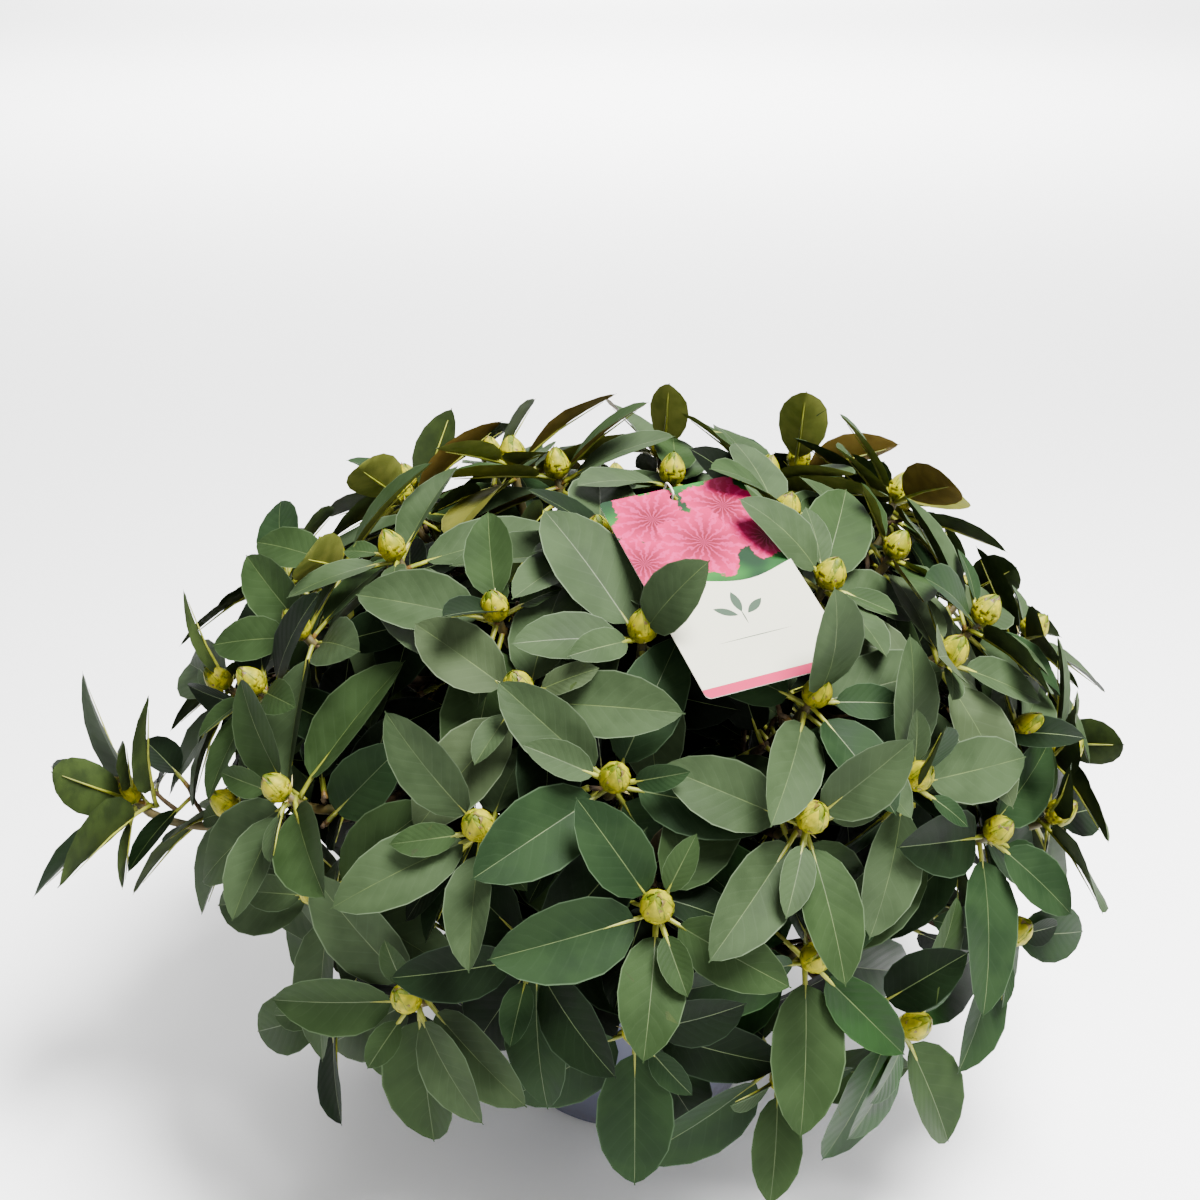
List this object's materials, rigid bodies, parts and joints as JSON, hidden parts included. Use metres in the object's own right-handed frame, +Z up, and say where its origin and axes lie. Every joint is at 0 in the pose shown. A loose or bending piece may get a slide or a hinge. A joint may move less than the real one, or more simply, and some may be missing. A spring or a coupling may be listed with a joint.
{
  "type": "potted rhododendron shrub",
  "caption": "Low, broad rhododendron shrub with rosettes of leathery leaves round plump flower buds, a picture label tied to a twig, in a round nursery pot.",
  "frame": {"origin": "centre of the pot's flat underside, on the surface it stands on", "axes": "+Z up the pot's axis; -Y towards the front, the side that faces the viewer; +X to the viewer's right"},
  "size_m": [0.8182, 0.6852, 0.5642],
  "materials": {
    "pot_plastic": "moulded bluish-grey nursery plastic, slightly satin",
    "soil": "dark crumbly peat and bark",
    "bark": "grey-brown, finely fissured bark",
    "foliage": "leathery dark green leaves, matt above, paler midribs, and yellow-green buds",
    "card": null,
    "string": "thin white string"
  },
  "bodies": {
    "root": {"pot": "pot_plastic", "soil": "soil", "trunk": "bark", "label_card": "card", "label_tie": "string", "bough_front_low": "bark", "bough_back_low": "bark", "bough_left_low": "bark", "bough_right_back_low": "bark", "bough_left_far": "bark", "bough_right_low": "bark", "bough_left_back_low": "bark", "bough_back_left_low": "bark", "bough_right_front_low": "bark", "bough_back_mid": "bark", "bough_left_side": "bark", "bough_right_side": "bark", "bough_front_right_mid": "bark", "bough_left_back_mid": "bark", "bough_left_front_mid": "bark", "bough_right_front_mid": "bark", "bough_front_mid": "bark", "bough_right_back_mid": "bark", "bough_left_front_high": "bark", "bough_right_high": "bark", "bough_left_back_high": "bark", "bough_right_back_high": "bark", "bough_front_high": "bark", "bough_top": "bark", "foliage_front_low": "foliage", "foliage_back_low": "foliage", "foliage_left_low": "foliage", "foliage_right_back_low": "foliage", "foliage_left_far": "foliage", "foliage_right_low": "foliage", "foliage_left_back_low": "foliage", "foliage_back_left_low": "foliage", "foliage_right_front_low": "foliage", "foliage_back_mid": "foliage", "foliage_left_side": "foliage", "foliage_right_side": "foliage", "foliage_front_right_mid": "foliage", "foliage_left_back_mid": "foliage", "foliage_left_front_mid": "foliage", "foliage_right_front_mid": "foliage", "foliage_front_mid": "foliage", "foliage_right_back_mid": "foliage", "foliage_left_front_high": "foliage", "foliage_right_high": "foliage", "foliage_left_back_high": "foliage", "foliage_right_back_high": "foliage", "foliage_front_high": "foliage", "foliage_top": "foliage"}
  },
  "joints": []
}
